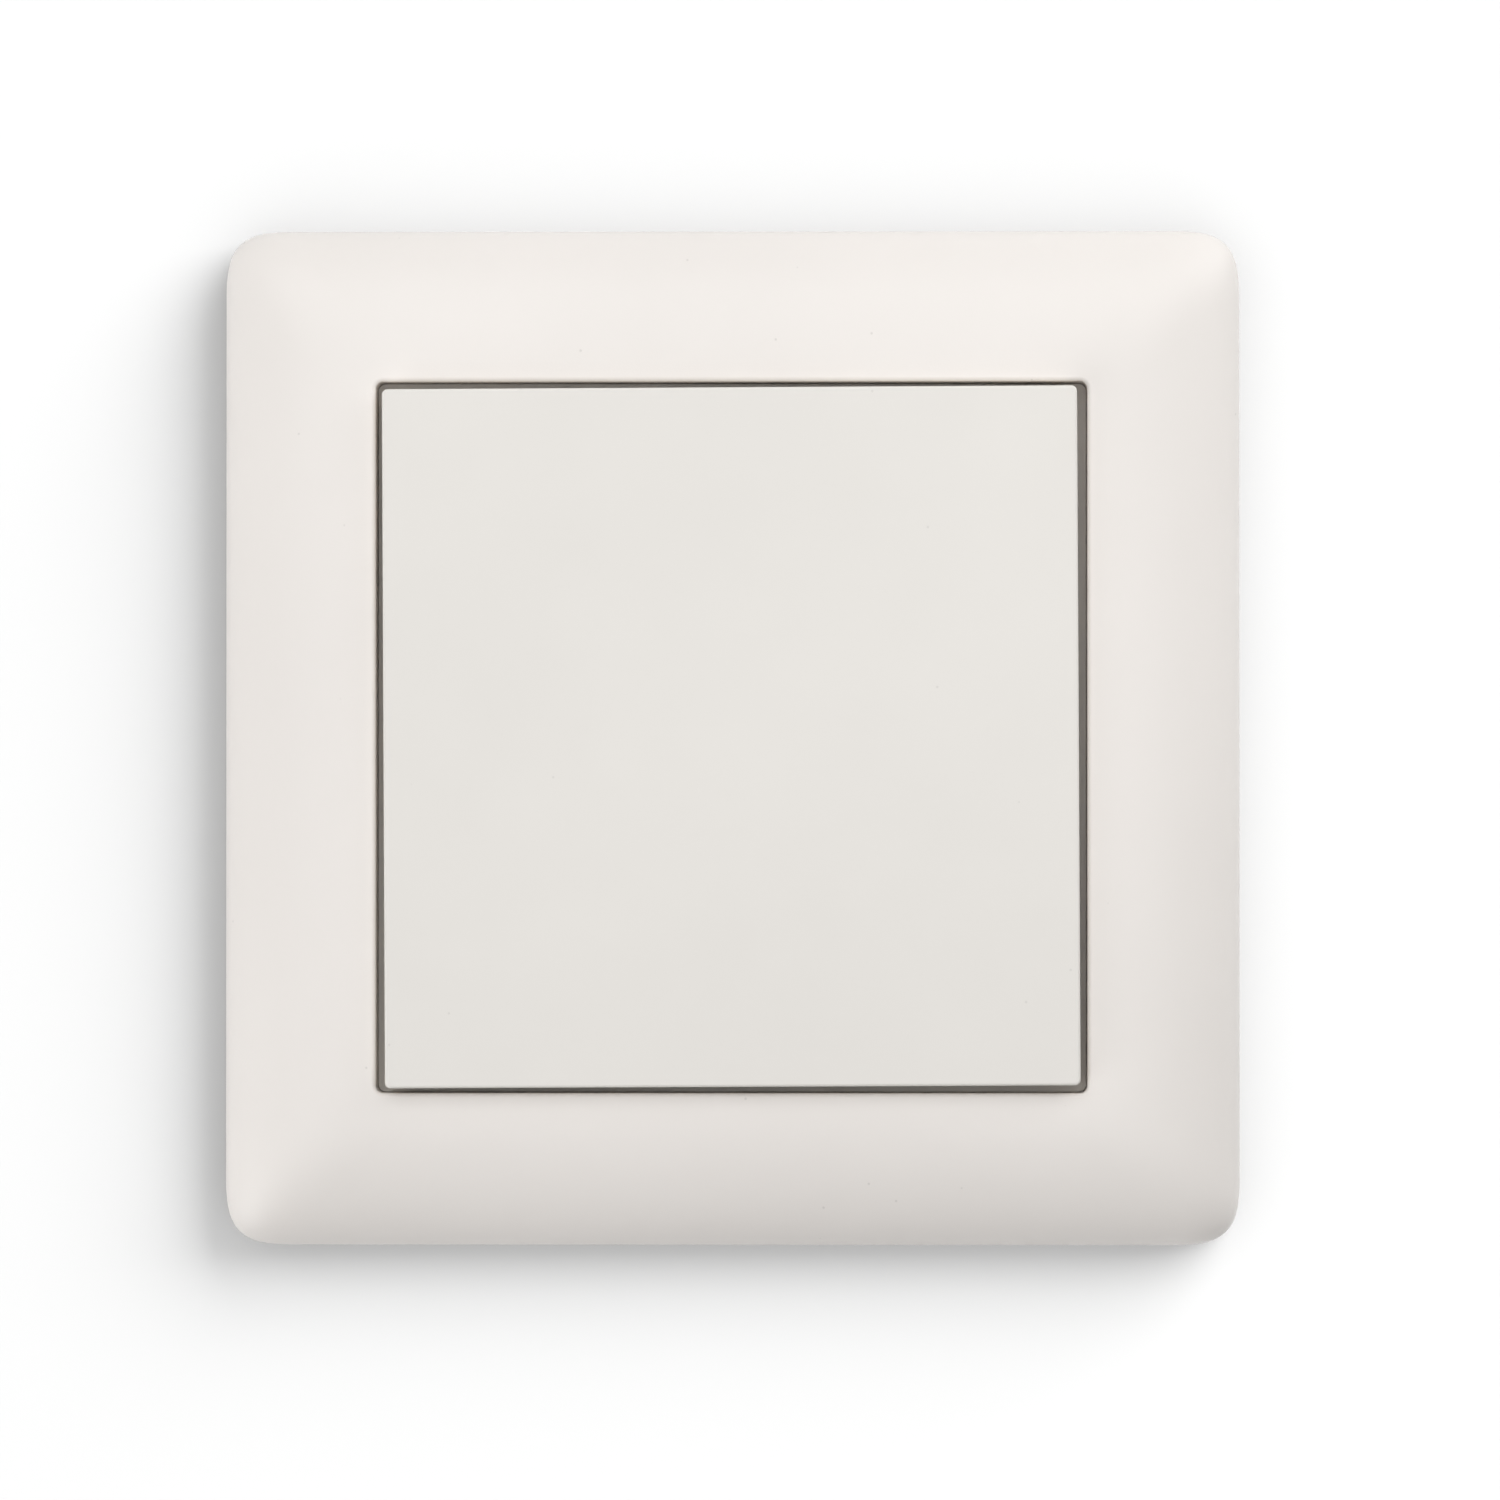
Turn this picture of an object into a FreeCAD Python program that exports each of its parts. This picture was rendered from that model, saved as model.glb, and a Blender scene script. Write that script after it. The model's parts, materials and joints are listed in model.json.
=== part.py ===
import FreeCAD, Part
import math
import os

# Flush pushbutton dimmer switch of the 55 mm module.
# Millimetres. X right, Z up, the room is towards -Y and the wall surface is the plane y = 0.
# The origin is the middle of the pattern of box screws.

# Surround
frame_overhang = 4.75
frame_depth = 9.4
crown_height = 5.2
rim_corner = 5.2
crest_corner = 3.0
corner_fullness = 0.78
crown_steps = 7
frame_wall = 2.0
lip_land = 1.5
lip_radius = 0.35
opening_side = 56.2
opening_corner = 0.6
collar_wall = 1.5
ledge_width = 1.5
ledge_thickness = 1.2
skirt_ring_wall = 1.2
rib_thickness = 1.0
rib_spacing = 18.0
back_edge_gap = 0.4
weld = 0.5

# Key
key_gap_sides = 0.70
key_gap_ends = 0.54
key_proud = 1.6
key_wall = 1.8
key_skirt_wall = 1.3
key_corner = 0.45
key_edge_radius = 0.2
key_skew_deg = 0.28
key_travel_deg = 2.2
key_rib_height = 0.9
key_rib_thickness = 1.2
key_rib_place = 16.0
clip_width = 6.0
clip_thickness = 1.2
clip_nose = 1.1
clip_hook = 0.8
clip_inset = 3.5
clip_place = 12.0
clip_clearance = 0.2

# Rocker
yoke_thickness = 1.6
yoke_window_half_height = 7.5
yoke_rail = 2.6
yoke_hole_half_width = 3.5
yoke_hole_half_height = 2.0
yoke_hole_corner = 1.0
yoke_hole_side = 7.1
yoke_hole_end = 4.9
trunnion_radius = 1.2
trunnion_clearance = 0.05
pivot_height = 2.9
lug_half_height = 2.4
lug_margin = 0.4
saddle_wall = 1.3
saddle_thickness = 2.0
saddle_clearance = 1.2
saddle_side_gap = 1.3
saddle_grip = 0.75
plunger_lever = 10.5

# Centre base
base_thickness = 1.2
base_side_gap = 0.05
base_rim_height = 2.2
base_rim_width = 1.2
leg_width = 8.0
leg_thickness = 1.4
leg_nose = 0.8
leg_nose_length = 1.3
leg_clearance = 0.2
leg_room = 0.4
boss_wall = 0.9
boss_back = 0.9

# Plungers and return springs
plunger_radius = 1.5
plunger_clearance = 0.06
plunger_head_radius = 2.4
plunger_head_thickness = 0.9
plunger_nub_radius = 0.8
plunger_nub_height = 0.4
plunger_head_gap = 0.15
touch_gap = 0.05
spring_place = 10.0
spring_width = 5.0
spring_thickness = 0.25
spring_foot = 3.5
spring_reach = 9.0
spring_tip = 1.5

# Support plate
plate_margin = 5.5
plate_thickness = 1.2
plate_corner = 4.0
plate_fit_gap = 0.3
window_half_height = 18.5
window_corner = 1.5
window_side_land = 2.0
box_screw_spacing = 60.0
slot_length = 7.0
slot_radius = 1.8
wall_screw_place = 26.0
wall_screw_radius = 2.0

# Housing
housing_half_width = 22.5
housing_half_height = 24.0
housing_chamfer = 6.2
housing_back = 31.0
housing_wall = 1.5
housing_edge_radius = 1.0
cover_thickness = 2.6
pedestal_height = 2.3
pedestal_wall = 1.2
pedestal_corner = 0.8
pedestal_side_gap = 0.6
hole_gap = 0.3
housing_screw_side = 9.5
housing_screw_end = 3.0
housing_screw_radius = 1.2
housing_screw_length = 9.0
screw_hole_gap = 0.2
screw_head_radius = 2.1
screw_head_height = 1.0
screw_slot_width = 0.6
screw_slot_depth = 0.5
post_radius = 2.5
rail_depth = 1.4
rail_width = 1.5
rail_place = 12.25

# Claws
claw_side_gap = 3.1
claw_arm_reach = 5.6
claw_sheet = 1.2
claw_half_width = 6.3
claw_gap_half_width = 2.7
claw_length = 21.0
claw_tooth = 1.4
tooth_count = 3
tooth_pitch = 1.6
tooth_rise = 1.45
tooth_root = 0.4
claw_toe = 6.0
claw_web = 1.0
claw_web_gap = 0.5
claw_ear_width = 2.2
claw_ear_gap = 0.35
ear_side_gap = 0.2
claw_head_extra = 0.6
claw_head_length = 0.45
claw_arm_y = 3.2
claw_arm_half_width = 3.0
claw_arm_margin = 1.1
claw_swing_deg = 15.0
claw_screw_radius = 1.25
claw_screw_tip_radius = 0.7
claw_screw_gap = 0.05
claw_screw_head_radius = 2.0
claw_screw_head_height = 1.2
claw_rest_gap = 0.08
claw_head_room = 0.4
notch_gap = 0.4

# Circuit boards
board_thickness = 1.2
key_board_y = 2.4
key_board_gap = 0.4
main_board_y = 9.4
main_board_gap = 0.5
board_post_radius = 1.2

# Push switches
tact_side = 6.0
tact_height = 3.0
tact_button_radius = 1.7
tact_button_height = 0.8
tact_travel = 0.25
tact_guide_gap = 0.1
tact_chamfer = 0.4
tact_well = 1.45
tact_stem = 0.9

# Power parts
lead_radius = 0.35
lead_length = 1.2
part_stand = 0.4
part_gap = 0.2
choke_outer_radius = 9.0
choke_inner_radius = 4.6
choke_height = 6.5
choke_side_gap = 1.6
choke_z = 1.5
winding_thickness = 0.9
winding_span_deg = 300.0
film_width = 13.0
film_depth = 11.0
film_height = 6.0
film_lead_place = 5.0
film_x = 8.5
film_z = -3.5
can_radius = 4.0
can_height = 11.5
can_edge_radius = 0.5
can_lead_place = 1.2
can_x = 5.5
can_z = 6.0
fuse_radius = 4.2
fuse_height = 7.5
fuse_lead_place = 2.0
fuse_side_gap = 1.8
fuse_z = 6.5
varistor_radius = 3.6
varistor_thickness = 3.0
varistor_edge_radius = 0.8
varistor_stand = 0.8
varistor_lead_place = 1.9
varistor_lead_length = 2.6
varistor_x = -9.5
varistor_z = -10.8
sink_half_width = 14.0
sink_thickness = 1.8
sink_front = 12.5
sink_back = 28.0
sink_rise = 0.3
sink_foot_half_width = 2.0
transistor_width = 10.0
transistor_thickness = 4.5
transistor_length = 9.0
transistor_tab_thickness = 1.3
transistor_tab_length = 6.3
transistor_place = 7.0
transistor_front = 13.0
transistor_leg_pitch = 2.54
transistor_leg_width = 0.8
transistor_leg_thickness = 0.5
transistor_leg_drop = 2.3
transistor_screw_radius = 1.5
transistor_head_radius = 2.6
transistor_head_height = 1.8
chip_width = 7.5
chip_thickness = 1.6
chip_height = 5.0
chip_stand = 0.1
chip_leg_count = 5
chip_leg_pitch = 1.27
chip_leg_width = 0.4
chip_leg_thickness = 0.7
chip_leg_reach = 1.1
chip_leg_root = 0.1
chip_z = 8.0
header_width = 10.2
header_height = 2.5

# Terminals
terminal_pitch = 9.0
cage_width = 6.4
cage_height = 7.6
cage_front = 19.0
cage_back = 26.4
cage_wall = 1.4
cage_seat_gap = 0.15
wire_hole_radius = 1.75
terminal_screw_radius = 1.5
terminal_thread_gap = 0.05
terminal_head_radius = 2.1
terminal_head_height = 1.8
terminal_tip_gap = 0.3
cage_lug_width = 1.0
cage_lug_height = 2.4

# Levels along Y worked out from the sizes above; forward is negative
plate_side = box_screw_spacing + 2 * plate_margin
frame_side = plate_side + 2 * frame_overhang
frame_front_y = -frame_depth
key_front_y = frame_front_y - key_proud
plate_front_y = -plate_thickness
ledge_front_y = plate_front_y - ledge_thickness
floor_front_y = ledge_front_y - base_thickness
opening_half = opening_side / 2
claw_pivot_x = housing_half_width + claw_side_gap
claw_screw_x = claw_pivot_x - claw_arm_reach
window_half_width = claw_screw_x - window_side_land
housing_screw_x = housing_half_width - housing_screw_side
housing_screw_z = housing_half_height - housing_screw_end
key_half_width = opening_half - key_gap_sides
key_half_height = opening_half - key_gap_ends
base_half = opening_half - base_side_gap
clip_outer_z = key_half_height - key_skirt_wall - clip_inset
yoke_half_height = clip_outer_z - clip_thickness - clip_clearance
saddle_outer_x = key_half_width - key_skirt_wall - saddle_side_gap
yoke_half_width = saddle_outer_x - saddle_thickness - saddle_clearance
yoke_front_y = key_front_y + key_wall + key_rib_height
yoke_back_y = yoke_front_y + yoke_thickness
pivot_y = floor_front_y - pivot_height
key_travel = math.radians(key_travel_deg)
edge_drop = key_half_height * math.sin(key_travel)
key_back_y = floor_front_y - base_rim_height - edge_drop - clip_clearance
plunger_travel = plunger_lever * key_travel
plunger_head_y = yoke_back_y + touch_gap + plunger_nub_height
boss_front_y = plunger_head_y + plunger_head_thickness + plunger_travel + plunger_head_gap
claw_swing = math.radians(claw_swing_deg)
claw_screw_travel = (claw_arm_reach - claw_screw_tip_radius) * claw_swing
claw_arm_tip_x = claw_screw_x - claw_arm_margin
notch_x = claw_arm_tip_x - notch_gap
notch_half_height = claw_half_width + 2 * notch_gap
arm_sweep = (claw_pivot_x - claw_arm_tip_x) * math.sin(claw_swing)
notch_back_y = claw_arm_y + claw_sheet + arm_sweep + notch_gap
tact_front_y = key_board_y - tact_height
tact_button_y = tact_front_y - tact_button_height
plunger_back_y = tact_button_y - plunger_travel - touch_gap
pedestal_front_y = -pedestal_height
leg_outer_z = window_half_height - leg_clearance
pedestal_half_height = leg_outer_z - leg_thickness - pedestal_side_gap
pedestal_half_width = window_half_width - pedestal_side_gap
guide_radius = plunger_radius + plunger_clearance
boss_radius = guide_radius + boss_wall
board_back_y = main_board_y + board_thickness
inner_back_y = housing_back - housing_wall
inner_half_width = housing_half_width - housing_wall
choke_x = choke_outer_radius + winding_thickness + choke_side_gap - inner_half_width
fuse_x = inner_half_width - fuse_side_gap - fuse_radius
terminal_z = -(housing_half_height - housing_wall - cage_seat_gap - cage_height / 2)
wire_y = (cage_front + cage_back) / 2 - cage_wall / 2


def save(name, shape):
    shape = shape.removeSplitter()
    if not shape.isValid():
        print("not valid:", name)
    shape.exportStep("parts/" + name + ".step")


def box(x0, x1, y0, y1, z0, z1):
    corner = FreeCAD.Vector(x0, y0, z0)
    return Part.makeBox(x1 - x0, y1 - y0, z1 - z0, corner)


def centred(half_x, y0, y1, half_z):
    return box(-half_x, half_x, y0, y1, -half_z, half_z)


def rod(radius, y0, y1, x=0.0, z=0.0):
    foot = FreeCAD.Vector(x, y0, z)
    return Part.makeCylinder(radius, y1 - y0, foot, FreeCAD.Vector(0, 1, 0))


def fuse(first, others):
    return first.fuse(others) if others else first


def cut(first, others):
    return first.cut(others) if others else first


def mirror_x(shape):
    return shape.mirror(FreeCAD.Vector(0, 0, 0), FreeCAD.Vector(1, 0, 0))


def both_ends(shape):
    return [shape, shape.mirror(FreeCAD.Vector(0, 0, 0), FreeCAD.Vector(0, 0, 1))]


def both_sides(shape):
    return [shape, mirror_x(shape)]


def four_ways(shape):
    return [piece for side in both_sides(shape) for piece in both_ends(side)]


def four_sides(shape):
    axis = FreeCAD.Vector(0, 1, 0)
    middle = FreeCAD.Vector(0, 0, 0)
    turned = []
    for quarter in range(4):
        copy = shape.copy()
        copy.rotate(middle, axis, 90 * quarter)
        turned.append(copy)
    return turned


def prism(points, y0, y1):
    corners = [FreeCAD.Vector(x, y0, z) for x, z in points]
    face = Part.Face(Part.makePolygon(corners + corners[:1]))
    return face.extrude(FreeCAD.Vector(0, y1 - y0, 0))


def edges_along(shape, axis, keep):
    """The straight edges along one axis, X, Y or Z, whose middle passes the test."""
    chosen = []
    for edge in shape.Edges:
        if edge.Curve.TypeId != "Part::GeomLine":
            continue
        start, end = edge.Vertexes[0].Point, edge.Vertexes[-1].Point
        run = end.sub(start)
        if abs(run[axis]) > 0.999 * run.Length and keep((start + end) * 0.5):
            chosen.append(edge)
    return chosen


def rounded_plate(half_x, y0, y1, half_z, corner):
    slab = centred(half_x, y0, y1, half_z)
    return slab.makeFillet(corner, edges_along(slab, 1, lambda point: True))


def soft_square(half, y, corner):
    """A square wire across Y whose corners swing softly out of its sides."""
    handle = corner * corner_fullness
    edges = []
    for quarter in range(4):
        turn = math.radians(90 * quarter)
        cos, sin = math.cos(turn), math.sin(turn)

        def at(u, v):
            return FreeCAD.Vector(u * cos - v * sin, y, u * sin + v * cos)

        edges.append(Part.LineSegment(at(half, -half + corner), at(half, half - corner)).toShape())
        bend = Part.BezierCurve()
        bend.setPoles([
            at(half, half - corner),
            at(half, half - corner + handle),
            at(half - corner + handle, half),
            at(half - corner, half),
        ])
        edges.append(bend.toShape())
    return Part.Wire(edges)


def pillow(half, crest_half, side_y, crest_y, rim, crest):
    """A straight-sided plinth from the wall with a crown that rises along a quarter ellipse."""
    band = half - crest_half
    rise = side_y - crest_y
    wires = []
    for step in range(crown_steps):
        share = step / (crown_steps - 1)
        angle = math.radians(90 * share)
        inset = band * (1 - math.cos(angle))
        y = side_y - rise * math.sin(angle)
        wires.append(soft_square(half - inset, y, rim + (crest - rim) * share))
    crown = Part.makeLoft(wires, True, False)
    plinth = Part.Face(soft_square(half, side_y, rim)).extrude(FreeCAD.Vector(0, -side_y, 0))
    return crown.fuse(plinth)


def square_ring(inner_half, outer_half, y0, y1):
    return centred(outer_half, y0, y1, outer_half).cut(centred(inner_half, y0 - 1, y1 + 1, inner_half))


def cover_frame():
    half = frame_side / 2
    crest_half = opening_half + lip_land
    side_y = -(frame_depth - crown_height)
    outer = pillow(half, crest_half, side_y, frame_front_y, rim_corner, crest_corner)
    hollow = pillow(
        half - frame_wall,
        crest_half,
        side_y,
        frame_front_y + frame_wall,
        rim_corner - frame_wall / 2,
        crest_corner,
    )
    shell = outer.cut(hollow)
    collar_half = opening_half + collar_wall
    roof_y = frame_front_y + frame_wall / 2
    collar = square_ring(opening_half - weld, collar_half, roof_y, plate_front_y)
    ring_half = plate_side / 2 + plate_fit_gap
    ring = square_ring(ring_half, ring_half + skirt_ring_wall, frame_front_y, -back_edge_gap)
    rib_back_y = plate_front_y - back_edge_gap
    ribs = []
    for place in (-rib_spacing, 0, rib_spacing):
        z0, z1 = place - rib_thickness / 2, place + rib_thickness / 2
        ribs.append(box(collar_half - weld, half - frame_wall + weld, frame_front_y, rib_back_y, z0, z1))
    walls = [ring] + [copy for rib in ribs for copy in four_sides(rib)]
    inside = [wall.common(hollow) for wall in walls]
    shell = fuse(shell, [collar] + inside)
    ledge_half = opening_half - ledge_width
    ledge = square_ring(ledge_half, opening_half + weld, ledge_front_y, plate_front_y)
    opening = rounded_plate(
        opening_half, frame_front_y - 1, ledge_front_y, opening_half, opening_corner
    )
    shell = fuse(shell.cut(opening).cut(centred(ledge_half, ledge_front_y - 1, 1, ledge_half)), [ledge])
    shell = shell.removeSplitter()
    lip = []
    for edge in shell.Edges:
        bounds = edge.BoundBox
        flat = bounds.YLength < 0.01 and abs(bounds.YMin - frame_front_y) < 0.01
        if flat and max(bounds.XMax, -bounds.XMin, bounds.ZMax, -bounds.ZMin) < opening_half + 0.1:
            lip.append(edge)
    return shell.makeFillet(lip_radius, lip)


def skewed(shape):
    shape.rotate(FreeCAD.Vector(0, 0, 0), FreeCAD.Vector(0, 1, 0), -key_skew_deg)
    return shape


def key_cap():
    block = rounded_plate(key_half_width, key_front_y, key_back_y, key_half_height, key_corner)
    front = [e for e in block.Edges if abs(e.BoundBox.YMax - key_front_y) < 0.01]
    block = block.makeFillet(key_edge_radius, front)
    inner_y = key_front_y + key_wall
    hollow = rounded_plate(
        key_half_width - key_skirt_wall,
        inner_y,
        key_back_y + 1,
        key_half_height - key_skirt_wall,
        key_corner,
    )
    shell = block.cut(hollow)
    rib_half = key_rib_thickness / 2
    rows = []
    rib_end_x = key_half_width - key_skirt_wall + weld
    rib_end_z = key_half_height - key_skirt_wall + weld
    for place in (-key_rib_place, 0, key_rib_place):
        rows.append(box(place - rib_half, place + rib_half, inner_y - weld, yoke_front_y,
                        -rib_end_z, rib_end_z))
    cross = box(-rib_end_x, rib_end_x, inner_y - weld, yoke_front_y, -rib_half, rib_half)
    leg_z = clip_outer_z - clip_thickness
    nose_y = yoke_back_y + clip_clearance
    clip_x = clip_place - clip_width / 2
    leg = box(clip_x, clip_x + clip_width, inner_y - weld, nose_y + clip_nose, leg_z, clip_outer_z)
    profile = [
        FreeCAD.Vector(clip_x, nose_y, leg_z + clip_thickness / 2),
        FreeCAD.Vector(clip_x, nose_y, leg_z - clip_hook),
        FreeCAD.Vector(clip_x, nose_y + clip_nose, leg_z),
        FreeCAD.Vector(clip_x, nose_y + clip_nose, leg_z + clip_thickness / 2),
    ]
    nose = Part.Face(Part.makePolygon(profile + profile[:1])).extrude(FreeCAD.Vector(clip_width, 0, 0))
    clips = four_ways(leg.fuse(nose))
    return skewed(fuse(shell, rows + [cross] + clips))


def rocker_yoke():
    slab = centred(yoke_half_width, yoke_front_y, yoke_back_y, yoke_half_height)
    window = centred(yoke_half_width - yoke_rail, yoke_front_y - 1, yoke_back_y + 1, yoke_window_half_height)
    lug_back_y = pivot_y + trunnion_radius + lug_margin
    lug = box(yoke_half_width - yoke_rail, yoke_half_width, yoke_front_y, lug_back_y,
              -lug_half_height, lug_half_height)
    pin_root_x = yoke_half_width - weld
    pin = Part.makeCylinder(
        trunnion_radius,
        saddle_outer_x - pin_root_x,
        FreeCAD.Vector(pin_root_x, pivot_y, 0),
        FreeCAD.Vector(1, 0, 0),
    )
    hole = rounded_plate(
        yoke_hole_half_width, yoke_front_y - 1, yoke_back_y + 1, yoke_hole_half_height, yoke_hole_corner
    )
    hole.translate(FreeCAD.Vector(yoke_half_width - yoke_hole_side, 0, yoke_half_height - yoke_hole_end))
    return fuse(cut(slab, [window] + four_ways(hole)), both_sides(lug.fuse(pin)))


def centre_base():
    floor = rounded_plate(base_half, floor_front_y, ledge_front_y, base_half, opening_corner)
    rim_front_y = floor_front_y - base_rim_height
    rim = square_ring(base_half - base_rim_width, base_half, rim_front_y, floor_front_y + weld)
    rim = rim.common(rounded_plate(base_half, rim_front_y, ledge_front_y, base_half, opening_corner))
    pillar_x0 = yoke_half_width + saddle_clearance
    bore = trunnion_radius + trunnion_clearance
    wall = bore + saddle_wall
    mouth_y = pivot_y - bore * saddle_grip
    pillar = box(pillar_x0, saddle_outer_x, mouth_y, floor_front_y + weld, -wall, wall)
    pivot_hole = Part.makeCylinder(
        bore,
        saddle_thickness + 2,
        FreeCAD.Vector(pillar_x0 - 1, pivot_y, 0),
        FreeCAD.Vector(1, 0, 0),
    )
    saddles = both_sides(pillar.cut(pivot_hole))
    bosses = []
    guides = []
    for z in (-plunger_lever, plunger_lever):
        bosses.append(rod(boss_radius, boss_front_y, ledge_front_y + boss_back, 0, z))
        guides.append(rod(guide_radius, boss_front_y - 1, ledge_front_y + boss_back + 1, 0, z))
    room_radius = claw_screw_head_radius + claw_head_room
    screw_room = [
        rod(room_radius, floor_front_y - 1, ledge_front_y + 1, side * claw_screw_x, 0)
        for side in (-1, 1)
    ]
    leg = leg_with_nose()
    base = fuse(floor, [rim] + saddles + bosses + both_ends(leg))
    return cut(base, guides + screw_room)


def leg_with_nose():
    """A springy leg that drops through the plate's window and hooks behind its edge."""
    half = leg_width / 2
    tip_y = leg_clearance + leg_nose_length
    inner_z = leg_outer_z - leg_thickness
    points = [
        (ledge_front_y - weld, inner_z),
        (ledge_front_y - weld, leg_outer_z),
        (leg_clearance / 2, leg_outer_z),
        (leg_clearance / 2, leg_outer_z + leg_nose),
        (leg_clearance, leg_outer_z + leg_nose),
        (tip_y, leg_outer_z),
        (tip_y, inner_z),
    ]
    corners = [FreeCAD.Vector(-half, y, z) for y, z in points]
    return Part.Face(Part.makePolygon(corners + corners[:1])).extrude(FreeCAD.Vector(leg_width, 0, 0))


def plunger(z):
    head_y = plunger_head_y
    nub = rod(plunger_nub_radius, head_y - plunger_nub_height, head_y + weld, 0, z)
    head = rod(plunger_head_radius, head_y, head_y + plunger_head_thickness, 0, z)
    stem = rod(plunger_radius, head_y + weld, plunger_back_y, 0, z)
    return fuse(stem, [head, nub])


def return_spring(x):
    """A bowed strip of spring steel: its foot sits on the base and its two ends meet the rocker."""
    foot_y = floor_front_y - touch_gap
    tip_y = yoke_back_y + touch_gap
    front = [
        (foot_y - spring_thickness, 0.0),
        (foot_y - spring_thickness, spring_foot),
        (tip_y, spring_reach),
        (tip_y, spring_reach + spring_tip),
    ]
    back = [(y + spring_thickness, z) for y, z in front]
    corners = [FreeCAD.Vector(x - spring_width / 2, y, z) for y, z in front + back[::-1]]
    arm = Part.Face(Part.makePolygon(corners + corners[:1])).extrude(FreeCAD.Vector(spring_width, 0, 0))
    return fuse(arm, both_ends(arm)[1:])


def slot(length, radius, x, z, along_x):
    half = length / 2 - radius
    dx, dz = (half, 0) if along_x else (0, half)
    ends = [rod(radius, plate_front_y - 1, 1, x + s * dx, z + s * dz) for s in (-1, 1)]
    side_x, side_z = (half, radius) if along_x else (radius, half)
    middle = centred(side_x, plate_front_y - 1, 1, side_z)
    middle.translate(FreeCAD.Vector(x, 0, z))
    return fuse(middle, ends)


def support_plate():
    plate = rounded_plate(plate_side / 2, plate_front_y, 0, plate_side / 2, plate_corner)
    window = rounded_plate(window_half_width, plate_front_y - 1, 1, window_half_height, window_corner)
    cuts = [window]
    for sign in (-1, 1):
        cuts.append(slot(slot_length, slot_radius, sign * box_screw_spacing / 2, 0, True))
        cuts.append(slot(slot_length, slot_radius, 0, sign * box_screw_spacing / 2, False))
        cuts.append(rod(claw_screw_radius + claw_screw_gap, plate_front_y - 1, 1, sign * claw_screw_x, 0))
    place = wall_screw_place
    cuts += four_ways(rod(wall_screw_radius, plate_front_y - 1, 1, place, place))
    screw_hole = housing_screw_radius + screw_hole_gap
    cuts += four_ways(rod(screw_hole, plate_front_y - 1, 1, housing_screw_x, housing_screw_z))
    ear_half = claw_sheet / 2 + claw_ear_gap
    ear_z = claw_half_width - claw_ear_width - claw_head_extra
    notch = box(claw_pivot_x - ear_half, claw_pivot_x + ear_half, plate_front_y - 1, 1,
                ear_z - ear_side_gap, ear_z + claw_ear_width + ear_side_gap)
    cuts += four_ways(notch)
    return cut(plate, cuts)


def housing_outline(inset):
    w, h = housing_half_width - inset, housing_half_height - inset
    c = housing_chamfer - inset * (2 - math.sqrt(2))
    right = [(w - c, -h), (w, -h + c), (w, h - c), (w - c, h)]
    return right + [(-x, z) for x, z in reversed(right)]


def claw_notches(grow):
    notch = box(notch_x - grow, housing_half_width + 1, -1, notch_back_y + grow,
                -notch_half_height - grow, notch_half_height + grow)
    return both_sides(notch)


def housing_cover():
    flange = prism(housing_outline(0), 0, cover_thickness)
    pedestal = rounded_plate(
        pedestal_half_width, pedestal_front_y, weld, pedestal_half_height, pedestal_corner
    )
    inner = pedestal_front_y + pedestal_wall
    hollow = centred(pedestal_half_width - pedestal_wall, inner, cover_thickness + 1,
                     pedestal_half_height - pedestal_wall)
    cover = fuse(flange, [pedestal]).cut(hollow)
    room_half = leg_width / 2 + leg_room
    room_back_y = leg_clearance + leg_nose_length + leg_room
    nose_room = box(-room_half, room_half, -weld, room_back_y,
                    pedestal_half_height, leg_outer_z + leg_nose + leg_room)
    cuts = both_ends(nose_room) + claw_notches(0)
    for z in (-plunger_lever, plunger_lever):
        cuts.append(rod(boss_radius + hole_gap, pedestal_front_y - 1, inner + 1, 0, z))
    screw_hole = housing_screw_radius + screw_hole_gap
    cuts += four_ways(rod(screw_hole, -1, cover_thickness + 1, housing_screw_x, housing_screw_z))
    cover = cut(cover, cuts)
    post_x = pedestal_half_width - pedestal_wall - key_board_gap - board_post_radius
    post_z = pedestal_half_height - pedestal_wall - key_board_gap - board_post_radius
    posts = four_ways(rod(board_post_radius, inner - weld, key_board_y, post_x, post_z))
    return fuse(cover, posts)


def housing_body():
    outer = prism(housing_outline(0), cover_thickness, housing_back)
    back = [e for e in outer.Edges if abs(e.BoundBox.YMin - housing_back) < 0.01]
    outer = outer.makeFillet(housing_edge_radius, back)
    outer = cut(outer, claw_notches(0))
    inner = prism(housing_outline(housing_wall), 0, inner_back_y)
    inner = cut(inner, claw_notches(housing_wall))
    shell = outer.cut(inner)
    post_back_y = main_board_y - part_gap
    post = rod(post_radius, cover_thickness, post_back_y, housing_screw_x, housing_screw_z)
    post = post.common(prism(housing_outline(housing_wall / 2), 0, housing_back))
    thread_radius = housing_screw_radius + terminal_thread_gap
    thread = rod(thread_radius, 0, main_board_y + 1, housing_screw_x, housing_screw_z)
    rail_x = housing_half_width - housing_wall
    rail = box(rail_x - rail_depth, rail_x + weld, board_back_y, inner_back_y + weld,
               rail_place - rail_width / 2, rail_place + rail_width / 2)
    shell = fuse(shell, four_ways(post) + four_ways(rail))
    cuts = four_ways(thread)
    driver_hole = terminal_head_radius + hole_gap
    for place in (-terminal_pitch, 0, terminal_pitch):
        cuts.append(rod(driver_hole, inner_back_y - 1, housing_back + 1, place, terminal_z))
        cuts.append(Part.makeCylinder(
            wire_hole_radius,
            housing_wall + 1,
            FreeCAD.Vector(place, wire_y, -housing_half_height - weld),
            FreeCAD.Vector(0, 0, 1),
        ))
    return cut(shell, cuts)


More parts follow.
